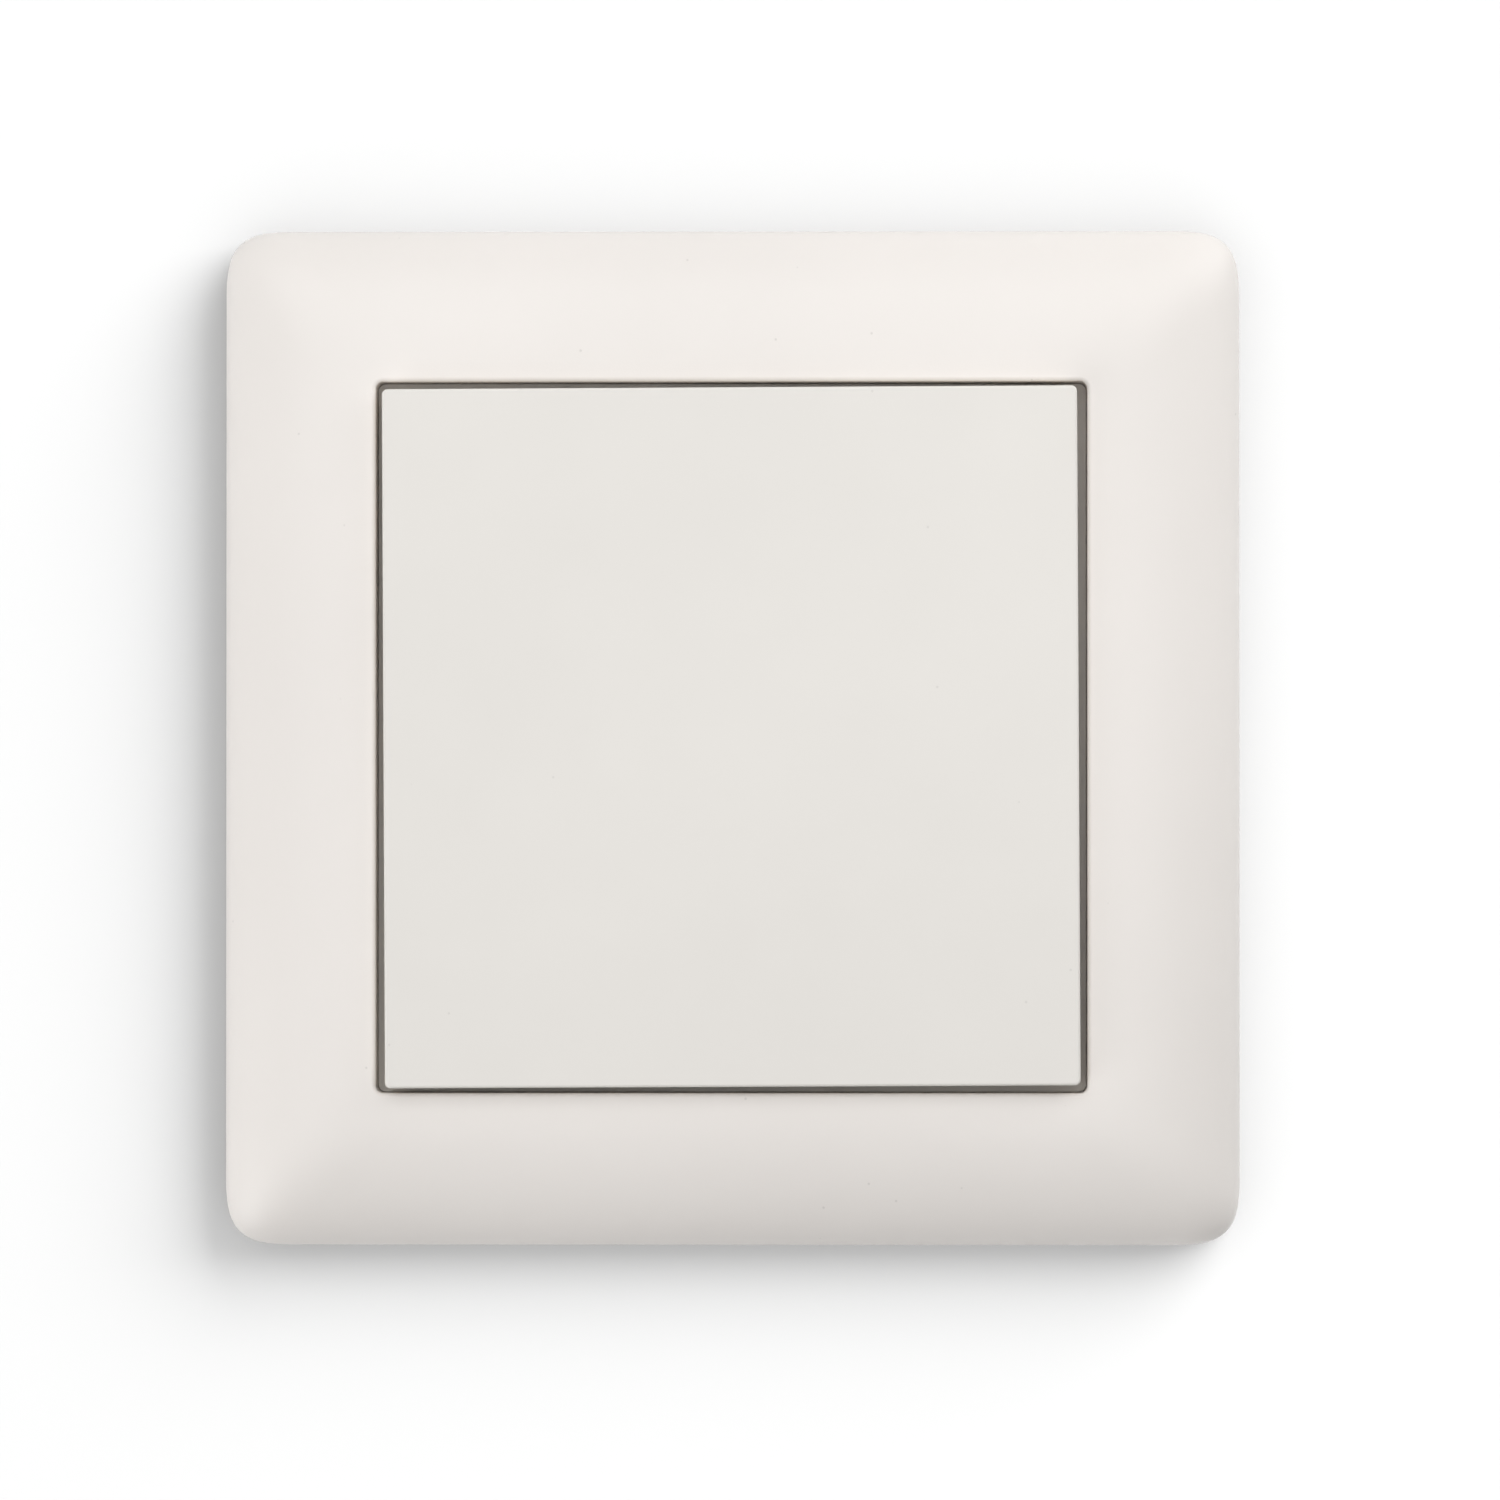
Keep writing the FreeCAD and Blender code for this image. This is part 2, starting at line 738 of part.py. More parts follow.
def slotted_screw(x, z, head_y, tip_y, shaft_radius, head_radius, head_height, tip_radius=None):
    """A screw along Y: the head's underside is at head_y and its shaft ends at tip_y."""
    way = 1 if tip_y > head_y else -1
    back = head_y - way * head_height
    head = rod(head_radius, min(back, head_y), max(back, head_y), x, z)
    if tip_radius is None:
        shaft = rod(shaft_radius, min(head_y, tip_y), max(head_y, tip_y), x, z)
    else:
        shoulder = tip_y - (shaft_radius - tip_radius)
        shaft = rod(shaft_radius, head_y, shoulder, x, z)
        cone = Part.makeCone(shaft_radius, tip_radius, tip_y - shoulder,
                             FreeCAD.Vector(x, shoulder, z), FreeCAD.Vector(0, 1, 0))
        shaft = shaft.fuse(cone)
    groove = centred(head_radius + 1, min(back, back + way * screw_slot_depth),
                     max(back, back + way * screw_slot_depth), screw_slot_width / 2)
    groove.translate(FreeCAD.Vector(x, 0, z))
    return head.fuse(shaft).cut(groove)


def housing_screws():
    tip_y = plate_front_y + housing_screw_length
    one = slotted_screw(housing_screw_x, housing_screw_z, plate_front_y, tip_y,
                        housing_screw_radius, screw_head_radius, screw_head_height)
    return Part.Compound(four_ways(one))


def claw():
    """The right-hand spreading claw: two toothed prongs, a web, an inward arm and two hooked ears."""
    half = claw_sheet / 2
    x0, x1 = claw_pivot_x - half, claw_pivot_x + half
    web_back = claw_arm_y + claw_sheet + claw_web
    web = box(x0, x1, claw_web_gap, web_back, -claw_half_width, claw_half_width)
    prong = box(x0, x1, claw_arm_y, claw_length, claw_gap_half_width, claw_half_width)
    start = claw_length - tooth_count * tooth_pitch
    points = [(x0, claw_length - claw_toe), (x1, start - tooth_root)]
    for index in range(tooth_count):
        y = start + index * tooth_pitch
        points += [(x1, y), (x1 + claw_tooth, y + tooth_rise)]
    points += [(x1, claw_length), (x0, claw_length)]
    corners = [FreeCAD.Vector(x, y, claw_gap_half_width) for x, y in points]
    teeth = Part.Face(Part.makePolygon(corners + corners[:1])).extrude(
        FreeCAD.Vector(0, 0, claw_half_width - claw_gap_half_width))
    arm = box(claw_arm_tip_x, x1, claw_arm_y, claw_arm_y + claw_sheet,
              -claw_arm_half_width, claw_arm_half_width)
    ear_z = claw_half_width - claw_ear_width - claw_head_extra
    head_back = plate_front_y - claw_ear_gap
    ear = box(x0, x1, head_back - claw_head_length, claw_arm_y, ear_z, ear_z + claw_ear_width)
    head = box(x0, x1, head_back - claw_head_length, head_back,
               ear_z - claw_head_extra, ear_z + claw_ear_width + claw_head_extra)
    pieces = both_ends(prong.fuse(teeth)) + [arm] + both_ends(ear.fuse(head))
    return fuse(web, pieces)


def claw_screw():
    tip_y = claw_arm_y - claw_rest_gap
    head_y = plate_front_y - claw_screw_travel - claw_rest_gap
    return slotted_screw(claw_screw_x, 0, head_y, tip_y, claw_screw_radius,
                         claw_screw_head_radius, claw_screw_head_height, claw_screw_tip_radius)


def key_board():
    half_x = pedestal_half_width - pedestal_wall - key_board_gap
    half_z = pedestal_half_height - pedestal_wall - key_board_gap
    return centred(half_x, key_board_y, key_board_y + board_thickness, half_z)


def tact_switch(z):
    body = box(-tact_side / 2, tact_side / 2, tact_front_y, key_board_y,
               z - tact_side / 2, z + tact_side / 2)
    well = rod(tact_button_radius + tact_guide_gap, tact_front_y - 1, tact_front_y + tact_well, 0, z)
    chosen = edges_along(body, 1, lambda point: True)
    return body.makeChamfer(tact_chamfer, chosen).cut(well)


def tact_button(z):
    return rod(tact_button_radius, tact_button_y, tact_front_y + tact_stem, 0, z)


def main_board():
    inset = housing_wall + main_board_gap
    return prism(housing_outline(inset), main_board_y, board_back_y)


def board_header():
    return centred(header_width / 2, key_board_y + board_thickness, main_board_y, header_height / 2)


def microcontroller():
    half_x, half_z = chip_width / 2, chip_height / 2
    back = key_board_y + board_thickness
    body = box(-half_x, half_x, back + chip_stand, back + chip_thickness, chip_z - half_z, chip_z + half_z)
    legs = []
    for index in range(chip_leg_count):
        x = (index - (chip_leg_count - 1) / 2) * chip_leg_pitch
        x0, x1 = x - chip_leg_width / 2, x + chip_leg_width / 2
        low, high = half_z - chip_leg_root, half_z + chip_leg_reach
        legs.append(box(x0, x1, back, back + chip_leg_thickness, chip_z + low, chip_z + high))
        legs.append(box(x0, x1, back, back + chip_leg_thickness, chip_z - high, chip_z - low))
    return fuse(body, legs)


def choke_core():
    ring = rod(choke_outer_radius, board_back_y + winding_thickness + part_gap,
               board_back_y + winding_thickness + part_gap + choke_height, choke_x, choke_z)
    eye = rod(choke_inner_radius, board_back_y, housing_back, choke_x, choke_z)
    return ring.cut(eye)


def choke_winding():
    front = board_back_y + part_gap / 2
    back = board_back_y + choke_height + 2 * winding_thickness + 1.5 * part_gap
    gap = part_gap / 2
    r_in, r_out = choke_inner_radius - gap, choke_outer_radius + gap
    t = winding_thickness - gap
    outline = [(r_in - t, front), (r_out + t, front), (r_out + t, back), (r_in - t, back)]
    window = [(r_in, front + t), (r_out, front + t), (r_out, back - t), (r_in, back - t)]
    faces = []
    for points in (outline, window):
        corners = [FreeCAD.Vector(choke_x + r, y, choke_z) for r, y in points]
        faces.append(Part.Face(Part.makePolygon(corners + corners[:1])))
    section = faces[0].cut(faces[1])
    wound = section.revolve(FreeCAD.Vector(choke_x, 0, choke_z), FreeCAD.Vector(0, 1, 0), winding_span_deg)
    return wound


def on_leads(body, x, z, place, length):
    """The body with two leads that stand on the main board, one each side of its middle."""
    leads = [rod(lead_radius, board_back_y, board_back_y + length, x + side * place, z) for side in (-1, 1)]
    return fuse(body, leads)


def film_capacitor():
    foot = board_back_y + part_stand
    body = box(film_x - film_width / 2, film_x + film_width / 2, foot, foot + film_depth,
               film_z - film_height / 2, film_z + film_height / 2)
    return on_leads(body, film_x, film_z, film_lead_place, lead_length)


def electrolytic_capacitor():
    foot = board_back_y + part_stand
    can = rod(can_radius, foot, foot + can_height, can_x, can_z)
    rolled = [e for e in can.Edges if e.BoundBox.YLength < 0.01]
    can = can.makeFillet(can_edge_radius, rolled)
    return on_leads(can, can_x, can_z, can_lead_place, lead_length)


def fuse_can():
    foot = board_back_y + part_stand
    can = rod(fuse_radius, foot, foot + fuse_height, fuse_x, fuse_z)
    return on_leads(can, fuse_x, fuse_z, fuse_lead_place, lead_length)


def varistor():
    centre_y = board_back_y + varistor_radius + varistor_stand
    foot = FreeCAD.Vector(varistor_x, centre_y, varistor_z - varistor_thickness / 2)
    disc = Part.makeCylinder(varistor_radius, varistor_thickness, foot, FreeCAD.Vector(0, 0, 1))
    rims = [e for e in disc.Edges if e.BoundBox.ZLength < 0.01]
    disc = disc.makeFillet(varistor_edge_radius, rims)
    return on_leads(disc, varistor_x, varistor_z, varistor_lead_place, varistor_lead_length)


def sink_levels():
    top = housing_half_height - housing_wall - sink_rise
    return top - sink_thickness, top


def heat_spreader():
    low, top = sink_levels()
    plate = box(-sink_half_width, sink_half_width, sink_front, sink_back, low, top)
    foot = box(-sink_foot_half_width, sink_foot_half_width, board_back_y, sink_front + weld, low, top)
    return cut(plate.fuse(foot), [transistor_hole(-1), transistor_hole(1)])


def screw_y():
    return transistor_front + transistor_length + transistor_tab_length / 2


def transistor_hole(side):
    _, top = sink_levels()
    foot = FreeCAD.Vector(side * transistor_place, screw_y(), 0)
    radius = transistor_screw_radius + screw_hole_gap / 2
    return Part.makeCylinder(radius, top + 1, foot, FreeCAD.Vector(0, 0, 1))


def transistor(side):
    low, _ = sink_levels()
    x = side * transistor_place
    half = transistor_width / 2
    body = box(x - half, x + half, transistor_front, transistor_front + transistor_length,
               low - transistor_thickness, low)
    tab_y = transistor_front + transistor_length
    tab = box(x - half, x + half, tab_y - weld, tab_y + transistor_tab_length,
              low - transistor_tab_thickness, low)
    leg_top = low - transistor_leg_drop
    legs = []
    for index in (-1, 0, 1):
        leg_x = x + index * transistor_leg_pitch - transistor_leg_width / 2
        legs.append(box(leg_x, leg_x + transistor_leg_width, board_back_y, transistor_front + weld,
                        leg_top - transistor_leg_thickness, leg_top))
    return fuse(body, [tab] + legs).cut(transistor_hole(side))


def transistor_screws():
    low, top = sink_levels()
    screws = []
    for side in (-1, 1):
        x = side * transistor_place
        head_z = low - transistor_tab_thickness
        head = Part.makeCylinder(transistor_head_radius, transistor_head_height,
                                 FreeCAD.Vector(x, screw_y(), head_z - transistor_head_height),
                                 FreeCAD.Vector(0, 0, 1))
        shaft = Part.makeCylinder(transistor_screw_radius, top - head_z,
                                  FreeCAD.Vector(x, screw_y(), head_z), FreeCAD.Vector(0, 0, 1))
        screws.append(head.fuse(shaft))
    return Part.Compound(screws)


def terminal_cage(x):
    half = cage_width / 2
    low, high = terminal_z - cage_height / 2, terminal_z + cage_height / 2
    cage = box(x - half, x + half, cage_front, cage_back, low, high)
    tunnel = box(x - half + cage_wall, x + half - cage_wall, cage_front + cage_wall, cage_back - cage_wall,
                 low - 1, high - cage_wall)
    thread_radius = terminal_screw_radius + terminal_thread_gap
    thread = rod(thread_radius, cage_back - cage_wall - 1, cage_back + 1, x, terminal_z)
    lug = box(x - cage_lug_width / 2, x + cage_lug_width / 2, board_back_y, cage_front + weld,
              high - cage_lug_height, high)
    return cage.fuse(lug).cut(tunnel).cut(thread)


def terminal_screws():
    head_y = cage_back + terminal_tip_gap
    tip_y = wire_y + wire_hole_radius + terminal_tip_gap
    screws = [slotted_screw(place, terminal_z, head_y, tip_y, terminal_screw_radius,
                            terminal_head_radius, terminal_head_height)
              for place in (-terminal_pitch, 0, terminal_pitch)]
    return Part.Compound(screws)


def main():
    os.makedirs("parts", exist_ok=True)
    save("cover_frame", cover_frame())
    save("key_cap", key_cap())
    save("rocker_yoke", rocker_yoke())
    save("centre_base", centre_base())
    save("return_spring_left", return_spring(-spring_place))
    save("return_spring_right", return_spring(spring_place))
    save("upper_plunger", plunger(plunger_lever))
    save("lower_plunger", plunger(-plunger_lever))
    save("support_plate", support_plate())
    save("housing_cover", housing_cover())
    save("housing_body", housing_body())
    save("housing_screws", housing_screws())
    save("claw_right", claw())
    save("claw_left", mirror_x(claw()))
    save("claw_screw_right", claw_screw())
    save("claw_screw_left", mirror_x(claw_screw()))
    save("key_board", key_board())
    save("tact_switch_upper", tact_switch(plunger_lever))
    save("tact_switch_lower", tact_switch(-plunger_lever))
    save("tact_button_upper", tact_button(plunger_lever))
    save("tact_button_lower", tact_button(-plunger_lever))
    save("main_board", main_board())
    save("board_header", board_header())
    save("microcontroller", microcontroller())
    save("choke_core", choke_core())
    save("choke_winding", choke_winding())
    save("film_capacitor", film_capacitor())
    save("electrolytic_capacitor", electrolytic_capacitor())
    save("fuse", fuse_can())
    save("varistor", varistor())
    save("heat_spreader", heat_spreader())
    save("transistor_left", transistor(-1))
    save("transistor_right", transistor(1))
    save("transistor_screws", transistor_screws())
    save("terminal_cage_live", terminal_cage(-terminal_pitch))
    save("terminal_cage_dimmed", terminal_cage(0))
    save("terminal_cage_extension", terminal_cage(terminal_pitch))
    save("terminal_screws", terminal_screws())


main()
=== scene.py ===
import json
import math

import bpy
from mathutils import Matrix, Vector
from mathutils.geometry import convex_hull_2d


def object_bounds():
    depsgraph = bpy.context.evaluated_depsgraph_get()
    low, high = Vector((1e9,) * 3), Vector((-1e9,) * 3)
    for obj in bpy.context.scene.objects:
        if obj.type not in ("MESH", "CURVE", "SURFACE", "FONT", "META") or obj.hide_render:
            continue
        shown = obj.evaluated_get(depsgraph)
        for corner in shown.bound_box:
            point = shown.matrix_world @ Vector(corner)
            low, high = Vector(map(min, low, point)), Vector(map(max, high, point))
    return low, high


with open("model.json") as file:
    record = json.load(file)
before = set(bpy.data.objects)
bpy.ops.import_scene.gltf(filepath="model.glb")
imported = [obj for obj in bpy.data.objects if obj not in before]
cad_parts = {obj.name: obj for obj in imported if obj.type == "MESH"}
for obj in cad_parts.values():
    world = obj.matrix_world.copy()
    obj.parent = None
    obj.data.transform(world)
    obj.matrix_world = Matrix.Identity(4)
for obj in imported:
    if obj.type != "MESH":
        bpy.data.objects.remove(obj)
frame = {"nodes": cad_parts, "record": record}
cad_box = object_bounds()

# Lengths are metres. X is right, Z is up, the room is towards -Y and the wall lies at y = 0.

# The photograph is a square of FRAME_PIXELS. At the wall's depth the surround would be
# OUTLINE_PIXELS wide in it, with its middle at OBJECT_CENTRE_PIXEL. The angles are degrees.
SHOT_DISTANCE = 0.80
SHOT_AZIMUTH = 1.0
SHOT_ELEVATION = -0.6
SENSOR_MM = 36.0
FRAME_PIXELS = 1500
OUTLINE_PIXELS = 1008.0
OBJECT_CENTRE_PIXEL = (733.5, 738.5)
NEAR_CLIP = 0.01

# Each lamp: the way from the object to it, its distance, the side of its square, its watts.
OBJECT_LAMPS = {
    "top_softbox": ((-0.05, -0.95, 0.31), 0.36, 0.42, 0.885),
    "left_reflector": ((-0.78, -0.37, -0.50), 0.50, 0.30, 0.70),
    "right_reflector": ((0.78, -0.38, 0.56), 0.25, 0.16, 0.145),
}
WALL_LAMPS = {
    "wall_softbox": ((0.66, -0.60, 0.575), 4.0, 3.8, 590.0),
    "wall_fill": ((0.0, -1.0, -0.25), 1.2, 3.2, 81.0),
}
REAR_LAMPS = {
    "rear_softbox": ((-0.5, 0.7, 0.6), 1.05, 0.6, 6.0),
}
FILL_BELOW = 0.095
FILL_ABOVE = 0.41
LIGHT_BOUNCES = 16
DIFFUSE_BOUNCES = 12

WALL_GREY = 0.25
WALL_GLOW = 0.13
WALL_GAP = 0.00005
WALL_HALF = 1.5
WALL_HOLE_INSET = 0.00005
WHITE = (1.0, 1.0, 1.0, 1.0)

# Scales of the textures, where a higher one is finer, and heights of what they raise.
CLOUD_SCALE = 40.0
SHEEN_SCALE = 220.0
SINK_SCALE = 120.0
SINK_HEIGHT = 0.0004
GRAIN_SCALE = 5200.0
GRAIN_HEIGHT = 0.00002
SPECK_SCALE = 270.0
SPECK_CORE = 0.020
SPECK_EDGE = 0.036
TONE_SPREAD = 0.012
SHEEN_SPREAD = 0.03
PLATING_SCALE = 150.0
DRAWN_SCALE = 1800.0
DRAWN_HEIGHT = 0.00002
WEAVE_SCALE = 1600.0
WEAVE_HEIGHT = 0.00002
TURN_SCALE = 300.0
TURN_HEIGHT = 0.0002
PLASTIC_IOR = 1.5

GREY_SPECK = (0.42, 0.40, 0.37)
PALE_SPECK = (0.60, 0.58, 0.55)

# Each moulding: name, colour, speck colour, roughness, grain, sink waves, strength of specks.
MOULDINGS = {
    "surround": ("surround_satin", (0.900, 0.858, 0.820), GREY_SPECK, 0.42, 0.25, 0.05, 0.26),
    "key": ("key_satin", (0.836, 0.808, 0.765), GREY_SPECK, 0.36, 0.12, 0.03, 0.20),
    "pale_moulding": ("pale_moulding_matt", (0.78, 0.75, 0.70), GREY_SPECK, 0.50, 0.20, 0.05, 0.20),
    "dark_moulding": ("dark_moulding_matt", (0.03, 0.03, 0.033), PALE_SPECK, 0.45, 0.20, 0.05, 0.10),
    "housing": ("housing_matt", (0.30, 0.31, 0.32), PALE_SPECK, 0.48, 0.50, 0.12, 0.30),
    "chip": ("chip_matt", (0.022, 0.022, 0.024), PALE_SPECK, 0.55, 0.40, 0.05, 0.10),
    "ferrite": ("ferrite_matt", (0.05, 0.05, 0.052), PALE_SPECK, 0.70, 0.70, 0.10, 0.20),
    "film_case": ("film_case_gloss", (0.55, 0.40, 0.05), GREY_SPECK, 0.30, 0.10, 0.05, 0.10),
    "can_sleeve": ("can_sleeve_gloss", (0.03, 0.035, 0.07), PALE_SPECK, 0.25, 0.10, 0.10, 0.10),
    "varistor_coat": ("varistor_gloss", (0.04, 0.12, 0.32), PALE_SPECK, 0.28, 0.15, 0.20, 0.10),
}

# Each metal: name, colour, duller colour, roughness, how its drawn lines are stretched.
METALS = {
    "spring_steel": ("spring_steel_bright", (0.62, 0.62, 0.63), (0.5, 0.5, 0.51), 0.24, (1.0, 1.0, 0.05)),
    "zinc_steel": ("zinc_steel_pressed", (0.66, 0.67, 0.69), (0.6, 0.61, 0.625), 0.34, (0.08, 1.0, 1.0)),
    "screw_steel": ("screw_steel_plated", (0.64, 0.63, 0.60), (0.50, 0.49, 0.46), 0.30, (1.0, 0.2, 1.0)),
    "aluminium": ("aluminium_stamped", (0.78, 0.78, 0.79), (0.66, 0.66, 0.67), 0.38, (0.08, 1.0, 1.0)),
    "brass": ("brass_tinned", (0.72, 0.60, 0.36), (0.60, 0.48, 0.26), 0.30, (1.0, 0.2, 1.0)),
}

BOARD_GREENS = ((0.03, 0.14, 0.06), (0.05, 0.21, 0.09))
COPPER_TONES = ((0.30, 0.10, 0.04), (0.62, 0.26, 0.12))


def new_material(name):
    material = bpy.data.materials.new(name)
    material.use_nodes = True
    nodes = material.node_tree.nodes
    links = material.node_tree.links
    nodes.clear()
    output = nodes.new("ShaderNodeOutputMaterial")
    shader = nodes.new("ShaderNodeBsdfPrincipled")
    links.new(shader.outputs["BSDF"], output.inputs["Surface"])
    return material, nodes, links, shader


def object_coordinates(nodes, links, stretch=(1.0, 1.0, 1.0)):
    where = nodes.new("ShaderNodeTexCoord")
    mapping = nodes.new("ShaderNodeMapping")
    mapping.inputs["Scale"].default_value = stretch
    links.new(where.outputs["Object"], mapping.inputs["Vector"])
    return mapping.outputs["Vector"]


def noise(nodes, links, vector, scale, detail=2.0, roughness=0.5):
    texture = nodes.new("ShaderNodeTexNoise")
    texture.inputs["Scale"].default_value = scale
    texture.inputs["Detail"].default_value = detail
    texture.inputs["Roughness"].default_value = roughness
    links.new(vector, texture.inputs["Vector"])
    return texture.outputs["Fac"]


def remap(nodes, links, value, low, high, to_low=0.0, to_high=1.0):
    node = nodes.new("ShaderNodeMapRange")
    node.inputs["From Min"].default_value = low
    node.inputs["From Max"].default_value = high
    node.inputs["To Min"].default_value = to_low
    node.inputs["To Max"].default_value = to_high
    links.new(value, node.inputs["Value"])
    return node.outputs["Result"]


def blend_colours(nodes, links, share, first, second):
    """Goes from the first colour to the second. The first may be another node's output."""
    node = nodes.new("ShaderNodeMix")
    node.data_type = "RGBA"
    if isinstance(first, tuple):
        node.inputs["A"].default_value = (*first, 1.0)
    else:
        links.new(first, node.inputs["A"])
    node.inputs["B"].default_value = (*second, 1.0)
    links.new(share, node.inputs["Factor"])
    return node.outputs["Result"]


def bump(nodes, links, height, strength, distance, under=None):
    """Raises the surface by a texture, on top of the bump that is given as under."""
    node = nodes.new("ShaderNodeBump")
    node.inputs["Strength"].default_value = strength
    node.inputs["Distance"].default_value = distance
    links.new(height, node.inputs["Height"])
    if under is not None:
        links.new(under, node.inputs["Normal"])
    return node.outputs["Normal"]


def specks(nodes, links, vector, strength):
    """Single grains of dust, at most one in each cell of a coarse pattern."""
    cells = nodes.new("ShaderNodeTexVoronoi")
    cells.inputs["Scale"].default_value = SPECK_SCALE
    links.new(vector, cells.inputs["Vector"])
    return remap(nodes, links, cells.outputs["Distance"], SPECK_CORE, SPECK_EDGE, strength, 0.0)


def moulded_plastic(name, colour, speck_colour, roughness, grain, waves, dust):
    """A satin moulding: fine spark-eroded grain, slight sink waves, a few faint specks."""
    material, nodes, links, shader = new_material(name)
    where = object_coordinates(nodes, links)
    cloud = remap(nodes, links, noise(nodes, links, where, CLOUD_SCALE, 3.0), 0.35, 0.65)
    lighter = tuple(min(1.0, part * (1.0 + TONE_SPREAD)) for part in colour)
    darker = tuple(part * (1.0 - TONE_SPREAD) for part in colour)
    tone = blend_colours(nodes, links, cloud, darker, lighter)
    dusty = blend_colours(nodes, links, specks(nodes, links, where, dust), tone, speck_colour)
    links.new(dusty, shader.inputs["Base Color"])
    sheen = remap(nodes, links, noise(nodes, links, where, SHEEN_SCALE), 0.3, 0.7,
                  roughness - SHEEN_SPREAD, roughness + SHEEN_SPREAD)
    links.new(sheen, shader.inputs["Roughness"])
    fine = noise(nodes, links, where, GRAIN_SCALE, 2.0, 0.6)
    slow = noise(nodes, links, where, SINK_SCALE)
    swell = bump(nodes, links, slow, waves, SINK_HEIGHT)
    links.new(bump(nodes, links, fine, grain, GRAIN_HEIGHT, swell), shader.inputs["Normal"])
    shader.inputs["IOR"].default_value = PLASTIC_IOR
    return material


def metal(name, colour, dull_colour, roughness, stretch):
    """Plated or bare metal: drawn or pressed lines, and patches where the plating is duller."""
    material, nodes, links, shader = new_material(name)
    where = object_coordinates(nodes, links)
    along = object_coordinates(nodes, links, stretch)
    patch = remap(nodes, links, noise(nodes, links, where, PLATING_SCALE, 4.0, 0.6), 0.35, 0.7)
    tone = blend_colours(nodes, links, patch, colour, dull_colour)
    links.new(tone, shader.inputs["Base Color"])
    lines = noise(nodes, links, along, DRAWN_SCALE, 3.0, 0.6)
    gloss = remap(nodes, links, lines, 0.25, 0.75, roughness - 0.08, roughness + 0.1)
    links.new(gloss, shader.inputs["Roughness"])
    links.new(bump(nodes, links, lines, 0.12, DRAWN_HEIGHT), shader.inputs["Normal"])
    shader.inputs["Metallic"].default_value = 1.0
    return material


def circuit_board(name):
    """Green lacquer over the weave of the glass cloth."""
    material, nodes, links, shader = new_material(name)
    where = object_coordinates(nodes, links)
    weave = noise(nodes, links, where, WEAVE_SCALE)
    links.new(blend_colours(nodes, links, weave, *BOARD_GREENS), shader.inputs["Base Color"])
    links.new(bump(nodes, links, weave, 0.1, WEAVE_HEIGHT), shader.inputs["Normal"])
    shader.inputs["Roughness"].default_value = 0.35
    return material


def wound_copper(name):
    """Enamelled wire, turn beside turn."""
    material, nodes, links, shader = new_material(name)
    where = object_coordinates(nodes, links)
    turns = nodes.new("ShaderNodeTexWave")
    turns.inputs["Scale"].default_value = TURN_SCALE
    turns.inputs["Distortion"].default_value = 0.6
    links.new(where, turns.inputs["Vector"])
    wire = turns.outputs["Fac"]
    links.new(blend_colours(nodes, links, wire, *COPPER_TONES), shader.inputs["Base Color"])
    links.new(bump(nodes, links, wire, 0.6, TURN_HEIGHT), shader.inputs["Normal"])
    shader.inputs["Roughness"].default_value = 0.3
    shader.inputs["Metallic"].default_value = 0.9
    return material


def dress_nodes():
    """Gives each piece of the frame the material of its slot."""
    materials = {slot: moulded_plastic(*values) for slot, values in MOULDINGS.items()}
    materials.update({slot: metal(*values) for slot, values in METALS.items()})
    materials["board"] = circuit_board("board_lacquer")
    materials["copper"] = wound_copper("copper_wound")
    slots = {entry["node"]: entry["material_slot"] for entry in frame["record"]["subparts"]}
    for name, node in frame["nodes"].items():
        node.data.materials.clear()
        node.data.materials.append(materials[slots[name]])


def sees_background(nodes, links):
    """1 for a ray that shows the background: from the camera, or off a mirror or through glass."""
    path = nodes.new("ShaderNodeLightPath")
    share = path.outputs["Is Camera Ray"]
    for ray in ("Is Glossy Ray", "Is Transmission Ray"):
        either = nodes.new("ShaderNodeMath")
        either.operation = "MAXIMUM"
        links.new(share, either.inputs[0])
        links.new(path.outputs[ray], either.inputs[1])
        share = either.outputs[0]
    return share


def wall_material():
    """Paint with a glow that makes it white, clear from behind so that the insert shows there."""
    material = bpy.data.materials.new("wall_white")
    material.use_nodes = True
    nodes = material.node_tree.nodes
    links = material.node_tree.links
    nodes.clear()
    output = nodes.new("ShaderNodeOutputMaterial")
    paint = nodes.new("ShaderNodeBsdfDiffuse")
    paint.inputs["Color"].default_value = (WALL_GREY, WALL_GREY, WALL_GREY, 1.0)
    glow = nodes.new("ShaderNodeEmission")
    glow.inputs["Color"].default_value = WHITE
    seen = nodes.new("ShaderNodeMath")
    seen.operation = "MULTIPLY"
    seen.inputs[1].default_value = WALL_GLOW
    links.new(sees_background(nodes, links), seen.inputs[0])
    links.new(seen.outputs[0], glow.inputs["Strength"])
    front = nodes.new("ShaderNodeAddShader")
    links.new(paint.outputs["BSDF"], front.inputs[0])
    links.new(glow.outputs["Emission"], front.inputs[1])
    back = nodes.new("ShaderNodeBsdfTransparent")
    side = nodes.new("ShaderNodeNewGeometry")
    mix = nodes.new("ShaderNodeMixShader")
    links.new(side.outputs["Backfacing"], mix.inputs["Fac"])
    links.new(front.outputs["Shader"], mix.inputs[1])
    links.new(back.outputs["BSDF"], mix.inputs[2])
    links.new(mix.outputs["Shader"], output.inputs["Surface"])
    return material


def surround_outline():
    """The outline of the surround's back edge in the plane of the wall, a hair inside it."""
    node = frame["nodes"]["cover_frame"]
    points = [node.matrix_world @ vertex.co for vertex in node.data.vertices]
    foot = [(point.x, point.z) for point in points if point.y > -WALL_GAP]
    shrink = 1.0 - WALL_HOLE_INSET / max(x for x, z in foot)
    return [(foot[index][0] * shrink, foot[index][1] * shrink) for index in convex_hull_2d(foot)]


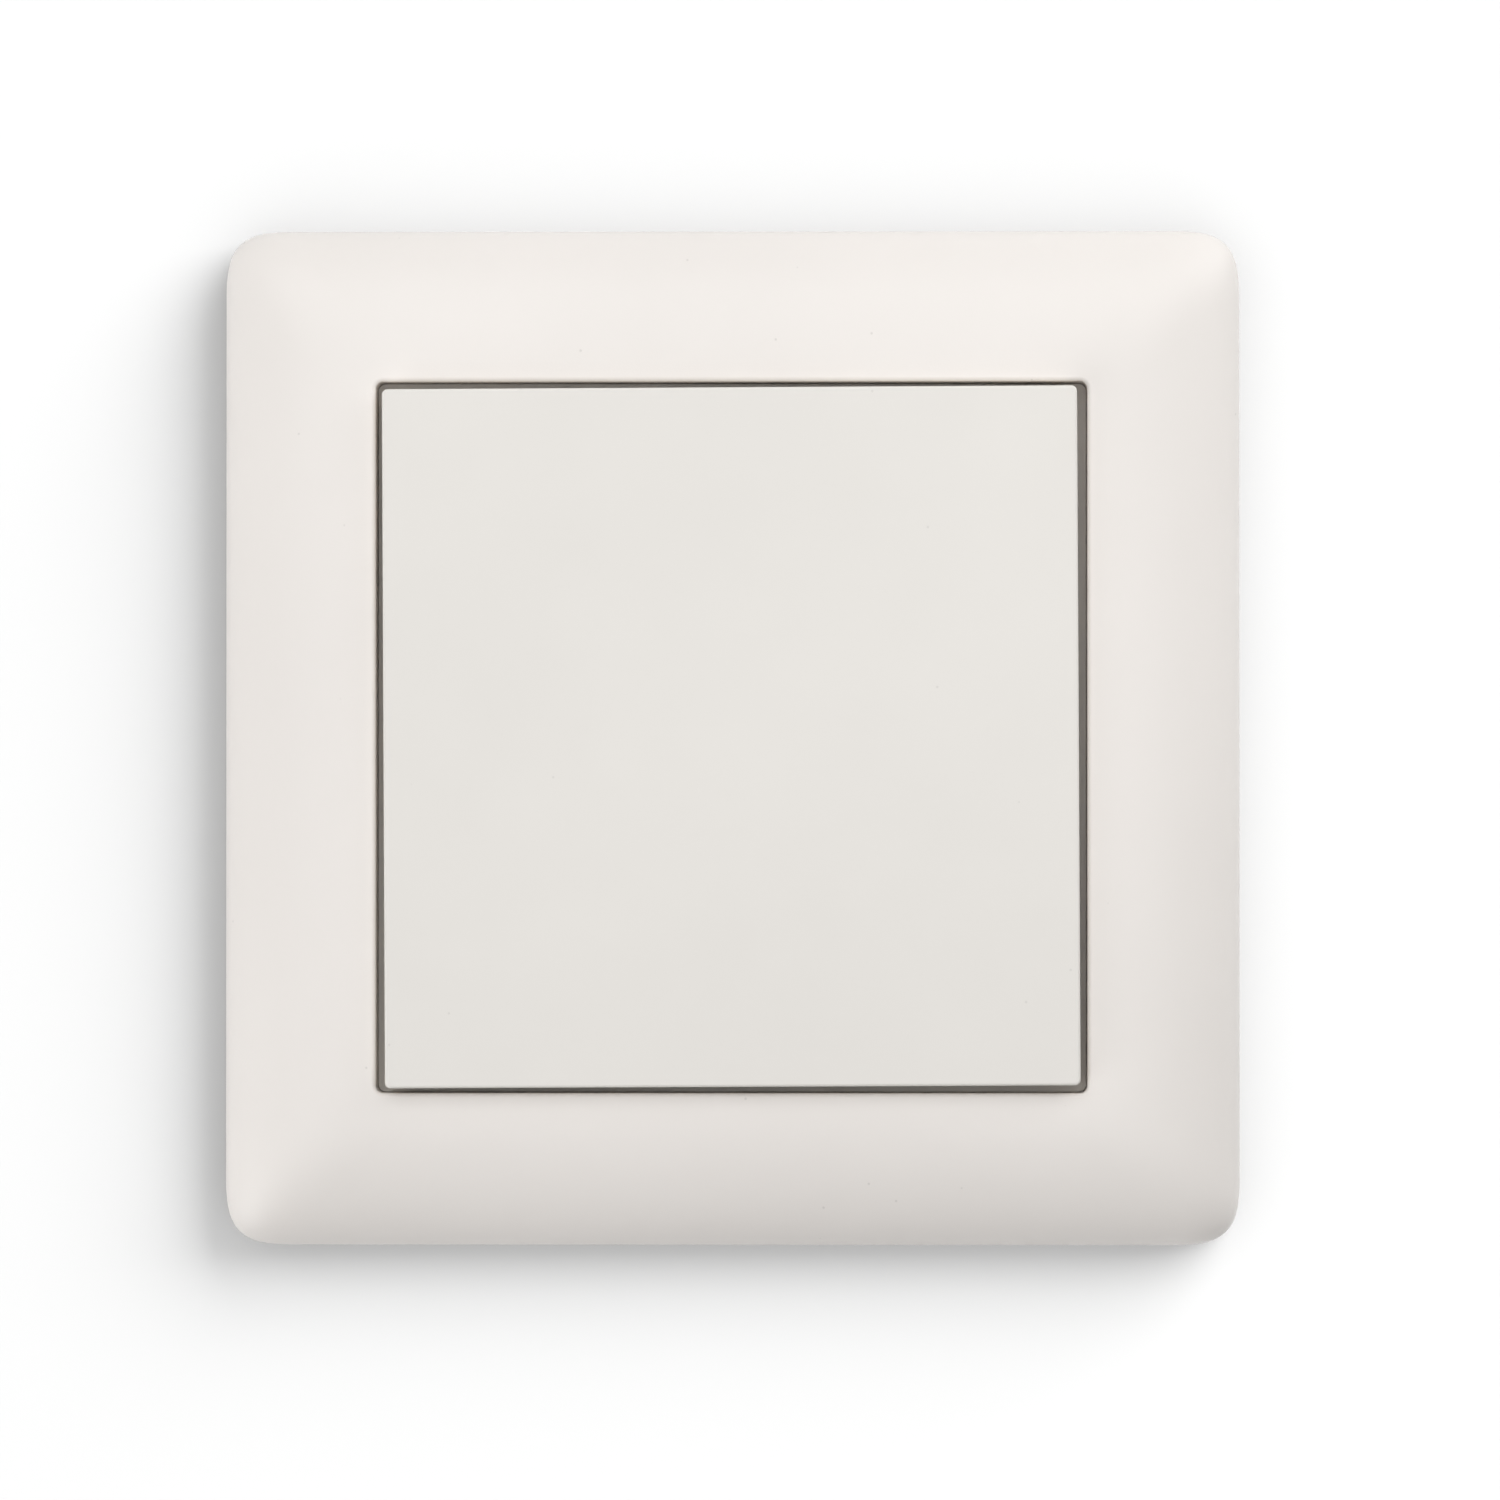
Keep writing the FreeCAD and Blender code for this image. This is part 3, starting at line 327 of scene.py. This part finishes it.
def add_wall():
    """The wall is open behind the surround, where the wall box is, so the back gets light."""
    hole = surround_outline()
    grow = WALL_HALF / max(x for x, z in hole)
    corners = [(x * size, WALL_GAP, z * size) for size in (1.0, grow) for x, z in hole]
    count = len(hole)
    faces = []
    for index in range(count):
        after = (index + 1) % count
        faces.append((index, index + count, after + count, after))
    mesh = bpy.data.meshes.new("wall")
    mesh.from_pydata(corners, [], faces)
    mesh.materials.append(wall_material())
    wall = bpy.data.objects.new("wall", mesh)
    bpy.context.scene.collection.objects.link(wall)
    return wall


def add_world():
    """White to the camera, and a fill on the object that grows from below to above."""
    world = bpy.data.worlds.new("studio")
    bpy.context.scene.world = world
    world.use_nodes = True
    nodes = world.node_tree.nodes
    links = world.node_tree.links
    nodes.clear()
    output = nodes.new("ShaderNodeOutputWorld")
    fill = nodes.new("ShaderNodeBackground")
    fill.inputs["Color"].default_value = WHITE
    where = nodes.new("ShaderNodeTexCoord")
    split = nodes.new("ShaderNodeSeparateXYZ")
    links.new(where.outputs["Generated"], split.inputs["Vector"])
    strength = remap(nodes, links, split.outputs["Z"], -1.0, 1.0, FILL_BELOW, FILL_ABOVE)
    links.new(strength, fill.inputs["Strength"])
    white = nodes.new("ShaderNodeBackground")
    white.inputs["Color"].default_value = WHITE
    white.inputs["Strength"].default_value = 1.0
    mix = nodes.new("ShaderNodeMixShader")
    links.new(sees_background(nodes, links), mix.inputs["Fac"])
    links.new(fill.outputs["Background"], mix.inputs[1])
    links.new(white.outputs["Background"], mix.inputs[2])
    links.new(mix.outputs["Shader"], output.inputs["Surface"])


def add_lamps(lamps, receivers=None):
    """Square lamps that face the origin and light the receivers or, without any, everything."""
    for name, (direction, distance, size, power) in lamps.items():
        place = Vector(direction).normalized() * distance
        data = bpy.data.lights.new(name, "AREA")
        data.shape = "SQUARE"
        data.size = size
        data.energy = power
        lamp = bpy.data.objects.new(name, data)
        lamp.location = place
        lamp.rotation_euler = (-place).to_track_quat("-Z", "Y").to_euler()
        lamp.visible_camera = False
        bpy.context.scene.collection.objects.link(lamp)
        if receivers is not None:
            lamp.light_linking.receiver_collection = receivers


def receivers_by_wall(wall, state):
    """What a lamp lights: the wall alone for INCLUDE, everything but the wall for EXCLUDE."""
    receivers = bpy.data.collections.new("wall_" + state.lower())
    receivers.objects.link(wall)
    receivers.collection_objects[0].light_linking.link_state = state
    return receivers


def add_camera():
    data = bpy.data.cameras.new("camera")
    data.sensor_width = SENSOR_MM
    data.clip_start = NEAR_CLIP
    surround_width = cad_box[1][0] - cad_box[0][0]
    per_pixel = surround_width / OUTLINE_PIXELS
    data.lens = SENSOR_MM * SHOT_DISTANCE / (per_pixel * FRAME_PIXELS)
    middle = FRAME_PIXELS / 2
    aim = Vector((
        (middle - OBJECT_CENTRE_PIXEL[0]) * per_pixel,
        0.0,
        (OBJECT_CENTRE_PIXEL[1] - middle) * per_pixel,
    ))
    azimuth = math.radians(SHOT_AZIMUTH)
    elevation = math.radians(SHOT_ELEVATION)
    way = Vector((
        math.sin(azimuth) * math.cos(elevation),
        -math.cos(azimuth) * math.cos(elevation),
        math.sin(elevation),
    ))
    camera = bpy.data.objects.new("camera", data)
    camera.location = aim + way * SHOT_DISTANCE
    camera.rotation_euler = (-way).to_track_quat("-Z", "Y").to_euler()
    bpy.context.scene.collection.objects.link(camera)
    bpy.context.scene.camera = camera


def main():
    scene = bpy.context.scene
    scene.view_settings.view_transform = "Standard"
    scene.cycles.max_bounces = LIGHT_BOUNCES
    scene.cycles.diffuse_bounces = DIFFUSE_BOUNCES
    dress_nodes()
    wall = add_wall()
    add_world()
    add_lamps(OBJECT_LAMPS, receivers_by_wall(wall, "EXCLUDE"))
    add_lamps(WALL_LAMPS, receivers_by_wall(wall, "INCLUDE"))
    add_lamps(REAR_LAMPS)
    add_camera()


main()
